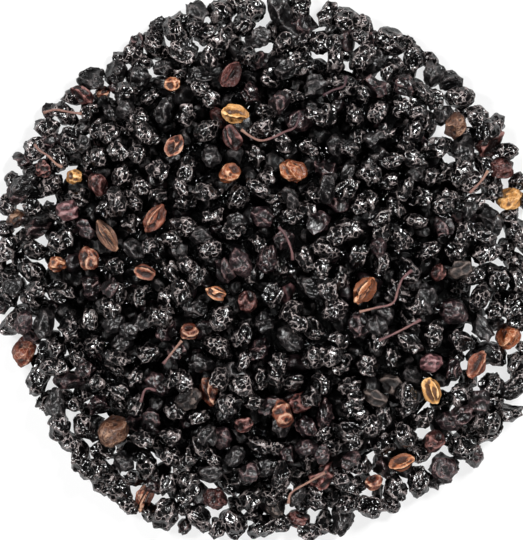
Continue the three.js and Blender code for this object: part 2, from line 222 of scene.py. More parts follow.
# the berries that dried in other colours: x, y, long, wide, turn in degrees
tonePlaces = {
    "gold": [
        (-4.7, 26.8, 4.8, 3.4, -12), (-32.9, 16.0, 2.8, 2.6, 0),
        (43.6, 12.2, 4.8, 4.2, 30), (29.6, -21.4, 4.7, 3.2, -70),
    ],
    "orange": [
        (5.4, 16.9, 4.9, 3.8, -25), (43.4, -11.9, 5.0, 4.3, 75),
        (24.5, -34.1, 4.6, 3.0, 18), (17.8, -3.9, 5.3, 3.6, 55),
        (-35.8, 0.6, 3.2, 2.7, -10), (-5.7, 16.5, 3.9, 3.1, 35),
        (-15.7, 32.2, 2.8, 2.6, 40), (-8.1, -4.3, 3.6, 2.3, -20),
    ],
    "russet": [
        (-30.2, 1.7, 4.2, 3.5, -60), (-18.6, 8.6, 5.6, 3.2, 55),
        (-20.4, -0.7, 3.7, 2.6, -15), (-42.0, -14.8, 5.4, 4.1, 80),
        (-15.2, 21.2, 4.2, 3.0, 55), (-28.0, 30.8, 2.9, 2.7, 20),
        (-12.6, -11.0, 3.2, 2.8, 10), (37.6, -16.9, 5.2, 3.4, 60),
        (-20.8, -40.4, 5.4, 3.1, 70), (19.6, -37.6, 3.3, 2.6, 30),
    ],
    "brown": [
        (-27.0, 5.6, 6.2, 2.9, -58), (-26.0, -28.5, 5.8, 4.9, 60),
        (-43.4, 8.7, 3.8, 3.0, 50), (33.9, 25.0, 4.6, 3.6, 65),
    ],
    "garnet": [
        (-5.2, 22.6, 4.6, 3.1, -65), (-2.5, -5.9, 3.8, 3.3, 80),
        (30.8, -0.8, 3.1, 2.6, 75), (6.3, -44.2, 4.3, 3.3, 0),
        (-8.1, -40.3, 4.3, 3.7, -30), (42.2, 17.6, 4.6, 4.1, 20),
        (-28.6, 14.6, 4.3, 3.2, -60), (-5.4, 33.7, 5.0, 3.5, 55),
        (-3.2, -27.3, 3.3, 2.7, 25), (30.1, -30.3, 4.0, 3.5, 40),
    ],
}
colouredBuild = {"height": 0.88, "tilt": 0.12}


def placeColoured():
    made = []
    for tone, places in tonePlaces.items():
        for number, (x, y, longSide, wide, turn) in enumerate(places, 1):
            made.append({
                "x": x, "y": y, "long": longSide, "wide": wide, "tall": wide * colouredBuild["height"],
                "across": math.sqrt(longSide * wide), "turn": math.radians(turn),
                "tiltX": colouredBuild["tilt"] * (2 * shaping() - 1),
                "tiltY": colouredBuild["tilt"] * (2 * shaping() - 1),
                "lift": 0, "slack": 0, "fixed": True,
                "tone": tone, "node": f"{tone}_berry_{number}",
            })
    return made


coloured = placeColoured()
black = spread(heap["topBerries"], heap["halfX"], heap["halfY"])
settle(coloured + black, heap["halfX"], heap["halfY"], heap["spacing"])
trimTouching(coloured + black)
black = [b for b in black if b["wide"] > heap["leastWidth"]]
for b in coloured + black:
    seated = b["tall"] / 2 + heap["clearance"] + heap["seat"] - heap["coreSink"]
    b["z"] = centreHeight(b["x"], b["y"]) + (seated if b["fixed"] else b["lift"])
    if isRim(b):
        b["z"] = b["tall"] / 2 + heap["floorGap"]
print("top berries settled:", len(black), "black and", len(coloured), "coloured")

# berries underneath, four of which the heap stands on
underneath = {"footRing": 31, "footAngles": (90, 210, 330), "edge": 4.5, "tiltShare": 0.3}
lowHalfX = heap["halfX"] - underneath["edge"]
lowHalfY = heap["halfY"] - underneath["edge"]
feet = [drawBerry(0, 0)]
for angle in underneath["footAngles"]:
    feet.append(drawBerry(underneath["footRing"] * math.cos(math.radians(angle)),
                          underneath["footRing"] * math.sin(math.radians(angle))))
for b in feet:
    b["fixed"] = True
lowest = feet + spread(heap["lowBerries"], lowHalfX, lowHalfY)
settle(lowest, lowHalfX, lowHalfY, heap["lowSpacing"])
for b in lowest:
    b["tiltX"] *= 0 if b["fixed"] else underneath["tiltShare"]
    b["tiltY"] *= 0 if b["fixed"] else underneath["tiltShare"]
    b["z"] = b["tall"] / 2 + (0 if b["fixed"] else heap["floorGap"])

# stalks, each lying over the berries' tops: its tint from start to end, and points along it
stalks = {
    "radius": 0.2,
    "step": 0.6,
    "curveSteps": 12,
    "inView": 0.6,  # kept clear of perched berries on either side
    "clear": (0.2, 0.15),  # how far it lies beside and over a berry
    "easeReach": 3,  # how many steps before and after hold a point up
    "easeSpan": 5,
    "endSwell": (0.5, 0.35),
    "ripple": (0.15, 1.9),
    "paths": [
        ((0.15, 0.9), [(-3.6, 24.0), (-2.1, 22.9), (-0.2, 22.1), (1.8, 22.6), (3.9, 23.6), (5.8, 24.5),
         (6.6, 27.0)]),
        ((0.9, 1.0), [(10.7, 30.1), (12.4, 31.0), (14.3, 31.7), (14.6, 33.4)]),
        ((0.1, 0.3), [(39.5, 17.0), (38.3, 15.2), (36.3, 13.1)]),
        ((0.0, 0.4), [(-13.9, -12.6), (-15.4, -14.4), (-17.1, -16.6)]),
        ((0.8, 0.6), [(2.9, 7.1), (4.2, 5.4), (5.1, 3.0), (5.3, 1.4)]),
        ((0.3, 0.6), [(16.9, -7.6), (19.8, -6.9), (22.7, -6.1), (23.6, -3.7), (24.4, -1.8), (26.0, -0.4)]),
        ((0.5, 0.6), [(20.3, -12.6), (23.8, -11.0), (27.6, -9.0)]),
        ((0.1, 0.3), [(11.0, -35.7), (7.9, -37.5), (5.1, -39.3), (4.6, -41.2)]),
        ((0.3, 0.1), [(-39.8, 21.6), (-39.0, 20.6), (-37.4, 19.6), (-36.0, 18.2), (-34.9, 17.6)]),
        ((0.2, 0.2), [(-38.4, 27.3), (-36.2, 27.8), (-33.6, 27.3), (-31.6, 27.0)]),
        ((0.6, 0.7), [(-21.1, -23.3), (-20.2, -21.0), (-18.4, -21.3)]),
    ],
}


def meanRadius(b):
    return (b["long"] + b["wide"] + b["tall"]) / 6


looseSize = {"stretch": (1.03, 0.24), "flatness": (0.8, 0.16)}


def looseBerry(x, y, across, mostTilt):
    stretch = within(looseSize["stretch"], nesting)
    return {
        "x": x, "y": y, "z": 0, "across": across, "tall": across * within(looseSize["flatness"], nesting),
        "long": across * stretch, "wide": across / stretch, "turn": 2 * math.pi * nesting(),
        "tiltX": mostTilt * (2 * nesting() - 1), "tiltY": mostTilt * (2 * nesting() - 1),
    }


# a place in the heap between two shares of its outline, as likely anywhere
def placeBetween(inner, outer):
    share = math.sqrt(inner ** 2 + (outer ** 2 - inner ** 2) * nesting())
    angle = 2 * math.pi * nesting()
    out = share * swellTowards(math.cos(angle), math.sin(angle))
    return out * heap["halfX"] * math.cos(angle), out * heap["halfY"] * math.sin(angle)


def keepApart(found, share):
    kept = []
    for b in found:
        radius = meanRadius(b)
        if all((b["x"] - c["x"]) ** 2 + (b["y"] - c["y"]) ** 2 + (b["z"] - c["z"]) ** 2
               > (share * (radius + meanRadius(c))) ** 2 for c in kept):
            kept.append(b)
    return kept


# berries that close up the rim: the widest that each free place on the surface takes
rimFill = {
    "candidates": 7000, "from": 0.72, "outline": 1.01, "least": 1.4, "most": 2.5, "sizes": (0.8, 0.2),
    "overlap": 1.15, "bite": 0.1, "tilt": 0.9,
}


def fillRim(around):
    held = np.array([[b["x"], b["y"], (b["long"] + b["wide"]) / 4] for b in around])
    places = []
    for _ in range(rimFill["candidates"]):
        x, y = placeBetween(rimFill["from"], rimFill["outline"])
        room = (np.hypot(held[:, 0] - x, held[:, 1] - y) - held[:, 2]).min() + rimFill["overlap"]
        inside = (rimFill["outline"] - shareAt(x, y)) * heap["halfX"]
        radius = min(rimFill["most"] * within(rimFill["sizes"], nesting), room, inside)
        if radius > rimFill["least"]:
            places.append((radius, x, y))
    places.sort(reverse=True)
    kept = []
    for radius, x, y in places:
        if all(math.hypot(x - b["x"], y - b["y"]) > radius + b["across"] / 2 - rimFill["bite"] for b in kept):
            kept.append(looseBerry(x, y, 2 * radius, rimFill["tilt"]))
    return kept


# berries that fell into the gaps: each slips down until its neighbours hold it
nested = {
    "candidates": 2800, "reach": 0.97, "across": (2.9, 1.5),
    "snug": 0.85, "highest": -0.3, "deepest": 4.3, "apart": 0.86, "squeeze": 0.9, "sink": 1.1,
    "tilt": 0.8, "floor": 0.1,
}


def nestle(around):
    held = np.array([[b["x"], b["y"], b["z"], meanRadius(b)] for b in around])
    found = []
    for _ in range(nested["candidates"]):
        x, y = placeBetween(0, nested["reach"])
        b = looseBerry(x, y, within(nested["across"], nesting), nested["tilt"])
        radius = meanRadius(b)
        touch = (held[:, 3] + radius) * nested["snug"]
        apart = (held[:, 0] - x) ** 2 + (held[:, 1] - y) ** 2
        near = apart < touch ** 2
        b["z"] = centreHeight(x, y) + nested["highest"]
        if near.any():
            b["z"] = min(b["z"], float((held[near, 2] - np.sqrt(touch[near] ** 2 - apart[near])).min()))
        if radius + nested["floor"] - nested["squeeze"] < b["z"] > centreHeight(x, y) - nested["deepest"]:
            b["z"] = max(b["z"], radius + nested["floor"])
            found.append(b)
    found.sort(key=lambda b: -b["z"])
    kept = keepApart(found, nested["apart"])
    for b in kept:
        b["z"] = max(b["z"] - nested["sink"], meanRadius(b) + nested["floor"])
    return kept


# berries that lie on top of others, held from all sides, and clear of what should stay in view
perched = {
    "candidates": 900, "reach": 0.95, "across": (3.2, 1.5),
    "hold": 0.78, "holders": 3, "highest": 2.6, "apart": 0.86, "openSide": 4.0, "tilt": 0.5,
}


def perch(around, inView):
    held = np.array([[b["x"], b["y"], b["z"], meanRadius(b)] for b in around])
    found = []
    for _ in range(perched["candidates"]):
        x, y = placeBetween(0, perched["reach"])
        b = looseBerry(x, y, within(perched["across"], nesting), perched["tilt"])
        radius = meanRadius(b)
        touch = (held[:, 3] + radius) * perched["hold"]
        apart = (held[:, 0] - x) ** 2 + (held[:, 1] - y) ** 2
        near = apart < touch ** 2
        covers = any(math.hypot(x - px, y - py) < radius + wide for px, py, wide in inView)
        if near.sum() < perched["holders"] or covers:
            continue
        towards = np.sort(np.arctan2(held[near, 1] - y, held[near, 0] - x))
        openSide = np.diff(np.append(towards, towards[0] + 2 * math.pi)).max()
        b["z"] = float((held[near, 2] + np.sqrt(touch[near] ** 2 - apart[near])).max())
        if openSide < perched["openSide"] and b["z"] < centreHeight(x, y) + perched["highest"]:
            found.append(b)
    found.sort(key=lambda b: b["z"])
    return keepApart(found, perched["apart"])


rimBerries = fillRim(coloured + black)
gapBerries = nestle(coloured + black + rimBerries)
inView = [(b["x"], b["y"], b["long"] / 2) for b in coloured]
inView += [(x, y, stalks["inView"]) for _, points in stalks["paths"] for x, y in points]
perchedBerries = perch(coloured + black + gapBerries + rimBerries, inView)
looseBerries = rimBerries + perchedBerries
print("more berries at the rim, in gaps, on top:", len(rimBerries), len(gapBerries), len(perchedBerries))


# where one of the black berries in view dried to another tint
tintedPlaces = {
    "mauve": [(-33.8, 8.2), (28.3, -15.9), (4.1, -2.9)],
    "umber": [(2.9, -42.7), (22.5, -20.0), (18.5, -22.0), (-12.1, -21.3), (33.4, 0.9)],
    "garnet": [(6.6, -23.2), (12.3, -35.9), (40.9, 20.6), (-36.9, 17.7), (-29.8, 29.8), (-8.9, 27.3)],
    "russet": [(4.5, -26.0), (-10.4, -23.3)],
}


# how high a berry stands at a place, or how far it is from there where it doesn't reach
def heightAt(b, x, y):
    off = math.hypot(b["x"] - x, b["y"] - y) / meanRadius(b)
    return b["z"] + meanRadius(b) * math.sqrt(1 - off * off) if off < 1 else -off


for tint, places in tintedPlaces.items():
    for x, y in places:
        seen = max(black + looseBerries + gapBerries, key=lambda b: heightAt(b, x, y))
        seen["finish"] = tint


# a berry is tried at its middle and at eight places round it, and is hidden where few of them show
showing = {"ring": 8, "reach": 0.65, "touch": 0.01, "least": 0.4}


# how much of a berry shows from above
def seenShare(b, around):
    seen = 0
    for i in range(showing["ring"] + 1):
        out = showing["reach"] * meanRadius(b) if i else 0
        angle = i * 2 * math.pi / showing["ring"]
        x, y = b["x"] + out * math.cos(angle), b["y"] + out * math.sin(angle)
        off = ((around[:, 0] - x) ** 2 + (around[:, 1] - y) ** 2) / around[:, 3] ** 2
        tops = around[:, 2] + around[:, 3] * np.sqrt(np.clip(1 - off, 0, 1))
        seen += tops[off < 1].max() < heightAt(b, x, y) + showing["touch"]
    return seen / (showing["ring"] + 1)


inFront = np.array([[b["x"], b["y"], b["z"], meanRadius(b)] for b in coloured + black + looseBerries])
for b in black + looseBerries:
    b["hidden"] = seenShare(b, inFront) < showing["least"]
print("berries mostly hidden:", sum(b["hidden"] for b in black + looseBerries))


def clearSelection():
    if bpy.context.object and bpy.context.object.mode != "OBJECT":
        bpy.ops.object.mode_set(mode="OBJECT")
    bpy.ops.object.select_all(action="DESELECT")


def joinAll(objects, name):
    clearSelection()
    for obj in objects:
        obj.select_set(True)
    bpy.context.view_layer.objects.active = objects[0]
    bpy.ops.object.join()
    joined = bpy.context.view_layer.objects.active
    joined.name = name
    joined.data.name = name
    clearSelection()
    return joined


def coordinates(mesh):
    co = np.empty(len(mesh.vertices) * 3, np.float32)
    mesh.vertices.foreach_get("co", co)
    return co.reshape(-1, 3)


def pushSkin(obj, pattern, size, strength, middle=0.0, contrast=1.0, grainFrame=None):
    texture = bpy.data.textures.new(pattern.lower(), pattern)
    texture.noise_scale = size
    if pattern == "VORONOI":
        texture.weight_1, texture.weight_2 = -1, 1  # nothing on the cells' edges, most in their middles
        texture.noise_intensity = contrast
    if pattern == "MARBLE":
        texture.marble_type = "SHARP"  # thin bands of nothing that wander between wide ones
        texture.turbulence = contrast
        texture.noise_depth = 1
    push = obj.modifiers.new(pattern.lower(), "DISPLACE")
    push.texture = texture
    push.texture_coords = "OBJECT" if grainFrame else "LOCAL"
    push.texture_coords_object = grainFrame
    push.strength = strength
    push.mid_level = middle
    bpy.ops.object.modifier_apply(modifier=push.name)


def markPoints(mesh, name, values):
    mark = mesh.attributes.new(name, "FLOAT", "POINT")
    mark.data.foreach_set("value", np.asarray(values, np.float32))


smoothing = {"passes": 5, "own": 0.3, "round": 0.7}


# how far each point stands out of the skin round it: 0 deep in a fold, 1 on a ridge
def markRidges(mesh, gain):
    ends = np.empty(len(mesh.edges) * 2, np.int32)
    mesh.edges.foreach_get("vertices", ends)
    ends = ends.reshape(-1, 2)
    radius = np.linalg.norm(coordinates(mesh), axis=1)
    smooth = radius.copy()
    count = np.bincount(ends.ravel(), minlength=len(radius))
    for _ in range(smoothing["passes"]):
        total = (np.bincount(ends[:, 0], smooth[ends[:, 1]], len(radius))
                 + np.bincount(ends[:, 1], smooth[ends[:, 0]], len(radius)))
        smooth = smoothing["own"] * smooth + smoothing["round"] * total / count
    markPoints(mesh, "ridge", np.clip(0.5 + gain * (radius - smooth), 0, 1))


# moves what the test selects, and the skin round it, against a direction
def pressIn(berry, test, facing, depth, width):
    bpy.ops.object.mode_set(mode="EDIT")
    bpy.ops.mesh.select_all(action="DESELECT")
    bpy.ops.object.mode_set(mode="OBJECT")
    for vertex in berry.data.vertices:
        vertex.select = test(vertex.co.normalized())
    bpy.ops.object.mode_set(mode="EDIT")
    bpy.ops.transform.translate(value=facing * -depth, use_proportional_edit=True,
                                proportional_edit_falloff="SMOOTH", proportional_size=width)
    bpy.ops.object.mode_set(mode="OBJECT")


# how a ball of unit radius becomes a berry
shrinking = {
    "dentCore": 0.985, "grooveCore": 0.99, "grooveHalf": 0.75, "grainShift": (1, 0.6, -0.8), "ridgeGain": 6,
    # patterns, with the shape's size and depth that they take and shares of them, middles and contrasts
    "pushes": (
        ("CLOUDS", None, 0.9, "lumps", 0.65, 0.5, 1),
        ("MARBLE", "foldSize", 2.2, "foldDepth", -0.4, 0, 4),
        ("VORONOI", "foldSize", 1, "foldDepth", -0.5, 0, 3.0),
        ("VORONOI", "netSize", 1, "netDepth", -0.6, 0, 3.6),
    ),
}


# a berry of unit radius: a ball, dented and grooved, whose skin then shrinks into folds
def modelBerry(name, shape, level):
    clearSelection()
    bpy.ops.mesh.primitive_ico_sphere_add(subdivisions=level, radius=1)
    berry = bpy.context.active_object
    berry.name = name
    for direction, depth, width in shape["dents"]:
        facing = Vector(direction).normalized()
        pressIn(berry, lambda co: co.dot(facing) > shrinking["dentCore"], facing, depth, width)
    for angle, depth, width in shape.get("grooves", ()):
        facing = Vector((0, math.sin(angle), math.cos(angle)))
        core, half = shrinking["grooveCore"], shrinking["grooveHalf"]
        pressIn(berry, lambda co: abs(co.x) < half and Vector((0, *co.yz)).normalized().dot(facing) > core,
                facing, depth, width)
    # the frame that the folds' patterns lie in, drawn out lengthwise
    grainFrame = bpy.data.objects.new("grainFrame", None)
    bpy.context.scene.collection.objects.link(grainFrame)
    grainFrame.location = [shift * shape["seed"] for shift in shrinking["grainShift"]]
    grainFrame.scale = (1 / shape["grain"], 1, 1)
    bpy.context.view_layer.update()
    for pattern, size, sizeShare, depth, push, middle, contrast in shrinking["pushes"]:
        scale = sizeShare * shape.get(size, 1)
        pushSkin(berry, pattern, scale, push * shape[depth], middle, contrast, grainFrame)
    bpy.data.objects.remove(grainFrame)
    soften = berry.modifiers.new("soften", "SMOOTH")
    soften.iterations = shape.get("soften", 2)
    bpy.ops.object.modifier_apply(modifier=soften.name)
    co = coordinates(berry.data)
    low, high = co.min(0), co.max(0)
    berry.data.vertices.foreach_set("co", ((co - (low + high) / 2) * 2 / (high - low)).ravel())
    markRidges(berry.data, shrinking["ridgeGain"])
    bpy.ops.object.shade_smooth()
    clearSelection()
    return berry


# dents are directions with depths and widths; a grain under 1 draws the folds out lengthwise
shapeValues = ("seed", "grain", "lumps", "foldSize", "foldDepth", "netSize", "netDepth", "dents")
berryShapes = [dict(zip(shapeValues, row)) for row in (
    (2.3, 1.0, 0.7, 0.95, 0.42, 0.42, 0.21, [((0, 0.3, 1), 0.35, 1.0)]),
    (5.1, 0.8, 0.6, 0.8, 0.34, 0.36, 0.2, [((1, 0, 0.4), 0.3, 0.9)]),
    (8.7, 0.7, 0.8, 1.0, 0.46, 0.4, 0.2, [((0.2, -1, 0.4), 0.4, 1.0)]),
    (11.9, 1.0, 0.5, 0.7, 0.29, 0.33, 0.18, []),
    (14.2, 0.55, 0.7, 0.85, 0.4, 0.38, 0.2, [((0, 1, 0.5), 0.45, 0.9)]),
    (17.8, 0.9, 0.9, 1.1, 0.5, 0.45, 0.23, [((-0.6, 0, 1), 0.3, 0.8)]),
    (21.3, 0.9, 0.6, 0.75, 0.36, 0.35, 0.19, [((0.5, 0.5, 1), 0.5, 0.9)]),
    (25.6, 0.5, 0.6, 0.9, 0.38, 0.4, 0.21, [((0, -0.4, 1), 0.35, 1.1)]),
    (28.4, 1.0, 0.7, 0.9, 0.42, 0.38, 0.22, [((1, 1, 0), 0.4, 1.0)]),
    (31.7, 1.0, 0.4, 0.65, 0.25, 0.32, 0.17, [((0, 0, 1), 0.2, 0.6)]),
    (35.2, 0.65, 0.9, 1.05, 0.46, 0.42, 0.21, [((-1, 0.4, 0.2), 0.4, 0.8)]),
    (38.9, 0.9, 0.7, 0.8, 0.4, 0.37, 0.2, [((0.3, 0.9, -0.4), 0.3, 0.9)]),
    (42.1, 0.8, 0.8, 0.95, 0.36, 0.4, 0.23, [((-0.5, -0.5, 1), 0.45, 1.0)]),
    (45.5, 1.0, 0.6, 0.72, 0.38, 0.34, 0.2, [((1, -0.5, 0.6), 0.35, 0.9)]),
)]
fineKinds = [modelBerry(f"fineKind{i}", shape, 4) for i, shape in enumerate(berryShapes)]
plainKinds = [modelBerry(f"plainKind{i}", shape, 3) for i, shape in enumerate(berryShapes)]
print("kinds of berry modelled:", len(fineKinds))


fullTurn = 6.2832
toplightBand = (0.02, 0.5)  # where the painted light on the upper side starts and how far up it fades in, as shares of the top


# a copy of a kind with its own mesh, turned any way round, at the berry's size and place
def copyBerry(kind, b, grow=1.0, spin=True):
    copy = kind.copy()
    copy.data = kind.data.copy()
    bpy.context.scene.collection.objects.link(copy)
    turned = Euler([fullTurn * picking() for _ in range(3)]).to_matrix().to_4x4() if spin else Matrix()
    size = Matrix.Diagonal((b["long"] / 2 * grow, b["wide"] / 2 * grow, b["tall"] / 2 * grow, 1))
    laid = Euler((b["tiltX"], b["tiltY"], b["turn"])).to_matrix().to_4x4()
    copy.data.transform(laid @ size @ turned)
    co = coordinates(copy.data)
    lowestPoint = co[:, 2].min()
    # how high each point lies on the berry, less for berries deep in the heap: the mask for painted light on
    # the upper side and painted shade on the sides
    upper = np.clip((co[:, 2] / co[:, 2].max() - toplightBand[0]) / toplightBand[1], 0, 1) * b.get("exposed", 1.0)
    height = max(b["z"], b.get("floor", heap["lowestSkin"]) - lowestPoint)  # nothing reaches into the surface
    copy.data.transform(Matrix.Translation((b["x"], b["y"], height)))
    copy.data.transform(Matrix.Scale(mm, 4))
    markPoints(copy.data, "tint", np.full(len(upper), b.get("tint", picking())))
    markPoints(copy.data, "upper", upper)
    return copy


# shader work: nodes are added by type with their values, and linked by name
def addNode(tree, kind, inputs=None, **values):
    node = tree.nodes.new(kind)
    for name, value in values.items():
        setattr(node, name, value)
    for name, value in (inputs or {}).items():
        socket = node.inputs[name]
        if isinstance(value, bpy.types.NodeSocket):
            tree.links.new(value, socket)
        else:
            socket.default_value = value
    return node


def remap(tree, value, fromLow, fromHigh, toLow, toHigh, smooth=False):
    node = addNode(tree, "ShaderNodeMapRange", {
        "Value": value, "From Min": fromLow, "From Max": fromHigh, "To Min": toLow, "To Max": toHigh,
    }, interpolation_type="SMOOTHSTEP" if smooth else "LINEAR")
    return node.outputs["Result"]


def readMark(tree, name):
    return addNode(tree, "ShaderNodeAttribute", attribute_name=name).outputs["Fac"]


def combine(tree, operation, *values):
    return addNode(tree, "ShaderNodeMath", dict(enumerate(values)), operation=operation).outputs[0]


def blendColours(tree, share, first, second):
    node = tree.nodes.new("ShaderNodeMix")
    node.data_type = "RGBA"
    for socket, value in ((node.inputs[0], share), (node.inputs[6], first), (node.inputs[7], second)):
        if isinstance(value, bpy.types.NodeSocket):
            tree.links.new(value, socket)
        else:
            socket.default_value = (*value, 1) if isinstance(value, tuple) else value
    return node.outputs[2]


# scales of the patterns, how high the fine one stands, and what the group's inputs start at
shrivelled = {
    "drift": 700.0, "fine": 4200.0, "slow": 260.0, "fineHeight": 0.2,
    "inputs": {"Net Scale": 1300.0, "Ridge Width": 0.13, "Wander": 0.0009},
}


# shrivelled skin: a net of thin ridges, fine wrinkles between them, and slow mottling
def makeShrivelGroup():
    tree = bpy.data.node_groups.new("shrivelledSkin", "ShaderNodeTree")
    for name, start in shrivelled["inputs"].items():
        socket = tree.interface.new_socket(name, in_out="INPUT", socket_type="NodeSocketFloat")
        socket.default_value = start
    for name in ("Height", "Ridges", "Mottle", "Grain", "Patches"):
        tree.interface.new_socket(name, in_out="OUTPUT", socket_type="NodeSocketFloat")
    given = addNode(tree, "NodeGroupInput")
    result = addNode(tree, "NodeGroupOutput")
    place = addNode(tree, "ShaderNodeTexCoord").outputs["Object"]
    drift = addNode(tree, "ShaderNodeTexNoise",
                    {"Vector": place, "Scale": shrivelled["drift"], "Detail": 2.0})
    centred = addNode(tree, "ShaderNodeVectorMath", {0: drift.outputs["Color"], 1: (0.5, 0.5, 0.5)},
                      operation="SUBTRACT")
    moved = addNode(tree, "ShaderNodeVectorMath",
                    {0: centred.outputs[0], "Scale": given.outputs["Wander"]}, operation="SCALE")
    bent = addNode(tree, "ShaderNodeVectorMath", {0: place, 1: moved.outputs[0]}, operation="ADD")
    cells = addNode(tree, "ShaderNodeTexVoronoi",
                    {"Vector": bent.outputs[0], "Scale": given.outputs["Net Scale"]},
                    feature="DISTANCE_TO_EDGE")
    ridges = remap(tree, cells.outputs["Distance"], 0.0, given.outputs["Ridge Width"], 1.0, 0.0, True)
    fine = addNode(tree, "ShaderNodeTexNoise",
                   {"Vector": bent.outputs[0], "Scale": shrivelled["fine"], "Detail": 3.0})
    slow = addNode(tree, "ShaderNodeTexNoise", {"Vector": place, "Scale": shrivelled["slow"], "Detail": 2.0})
    height = combine(tree, "MULTIPLY_ADD", fine.outputs["Fac"], shrivelled["fineHeight"], ridges)
    for name, value in (("Height", height), ("Ridges", ridges), ("Mottle", slow.outputs["Fac"]),
                        ("Grain", fine.outputs["Fac"]), ("Patches", drift.outputs["Fac"])):
        tree.links.new(value, result.inputs[name])
    return tree


shrivelGroup = makeShrivelGroup()


# where each effect sets in on its pattern, and how far it goes
skinBands = {
    "body": (0.55, 1.35),
    "netLine": (0.15, 0.6), "netLeast": 0.3,
    "patch": (0.38, 0.62), "patchLeast": 0.12,
    "foldShade": (0.2, 0.55),
    "gloss": (0.5, 1.4),
    "coatRoughness": 0.22,
}


# skin whose folds and sides are darkened with painted shade, whose ridges and net lines on the upper side
# take painted highlights, on coloured berries also their paler ridge tone, and whose gloss varies
def makeSkin(name, look):
    material = bpy.data.materials.new(name)
    material.use_nodes = True
    tree = material.node_tree
    shader = tree.nodes["Principled BSDF"]
    shrivel = addNode(tree, "ShaderNodeGroup", node_tree=shrivelGroup)
    shrivel.inputs["Net Scale"].default_value = look["net"]
    shrivel.inputs["Ridge Width"].default_value = look["ridgeWidth"]
    ridge, tint, upper = (readMark(tree, mark) for mark in ("ridge", "tint", "upper"))
    patch = combine(tree, "ADD", shrivel.outputs["Mottle"], tint)
    body = blendColours(tree, remap(tree, patch, *skinBands["body"], 0.0, 1.0), look["dark"], look["light"])
    # ridges on the upper side take the ridge colour: painted highlight, on coloured berries also their paler
    # ridge tone
    ridgeMost = remap(tree, ridge, *look["ridgeBand"], 0.0, look["ridgeShare"], True)
    netMost = remap(tree, tint, 0.0, 1.0, skinBands["netLeast"], look["netShare"])
    netLines = remap(tree, shrivel.outputs["Ridges"], *skinBands["netLine"], 0.0, netMost)
    # net lines show on the upper side only: painted highlight lines
    litNetLines = combine(tree, "MULTIPLY", upper, netLines)
    patches = remap(tree, shrivel.outputs["Patches"], *skinBands["patch"], skinBands["patchLeast"], 1.0, True)
    raised = blendColours(tree, combine(tree, "MULTIPLY", upper, ridgeMost), body, look["ridge"])
    netted = blendColours(tree, combine(tree, "MULTIPLY", litNetLines, patches), raised, look["ridge"])
    # deep in the folds the skin darkens towards the fold colour: painted shade in the creases
    foldShadeShare = remap(tree, ridge, *skinBands["foldShade"], look["foldShadeShare"], 0.0, True)
    creaseShaded = blendColours(tree, foldShadeShare, netted, look["foldShade"])
    # where the upper mark is low, the sides darken towards the same colour: painted shade
    shaded = blendColours(tree, remap(tree, upper, 0.0, 1.0, look["sideShadeShare"], 0.0), creaseShaded, look["foldShade"])
    tree.links.new(shaded, shader.inputs["Base Color"])
    rough = remap(tree, patch, *skinBands["gloss"], *look["roughness"])
    tree.links.new(rough, shader.inputs["Roughness"])
    bump = addNode(tree, "ShaderNodeBump", {"Height": shrivel.outputs["Height"],
                                            "Strength": look["bump"], "Distance": look["bumpDepth"] * mm})
    tree.links.new(bump.outputs["Normal"], shader.inputs["Normal"])
    shader.inputs["Coat Weight"].default_value = look["coat"]
    shader.inputs["Coat Roughness"].default_value = skinBands["coatRoughness"]
    shader.inputs["Specular IOR Level"].default_value = look["specular"]
    return material
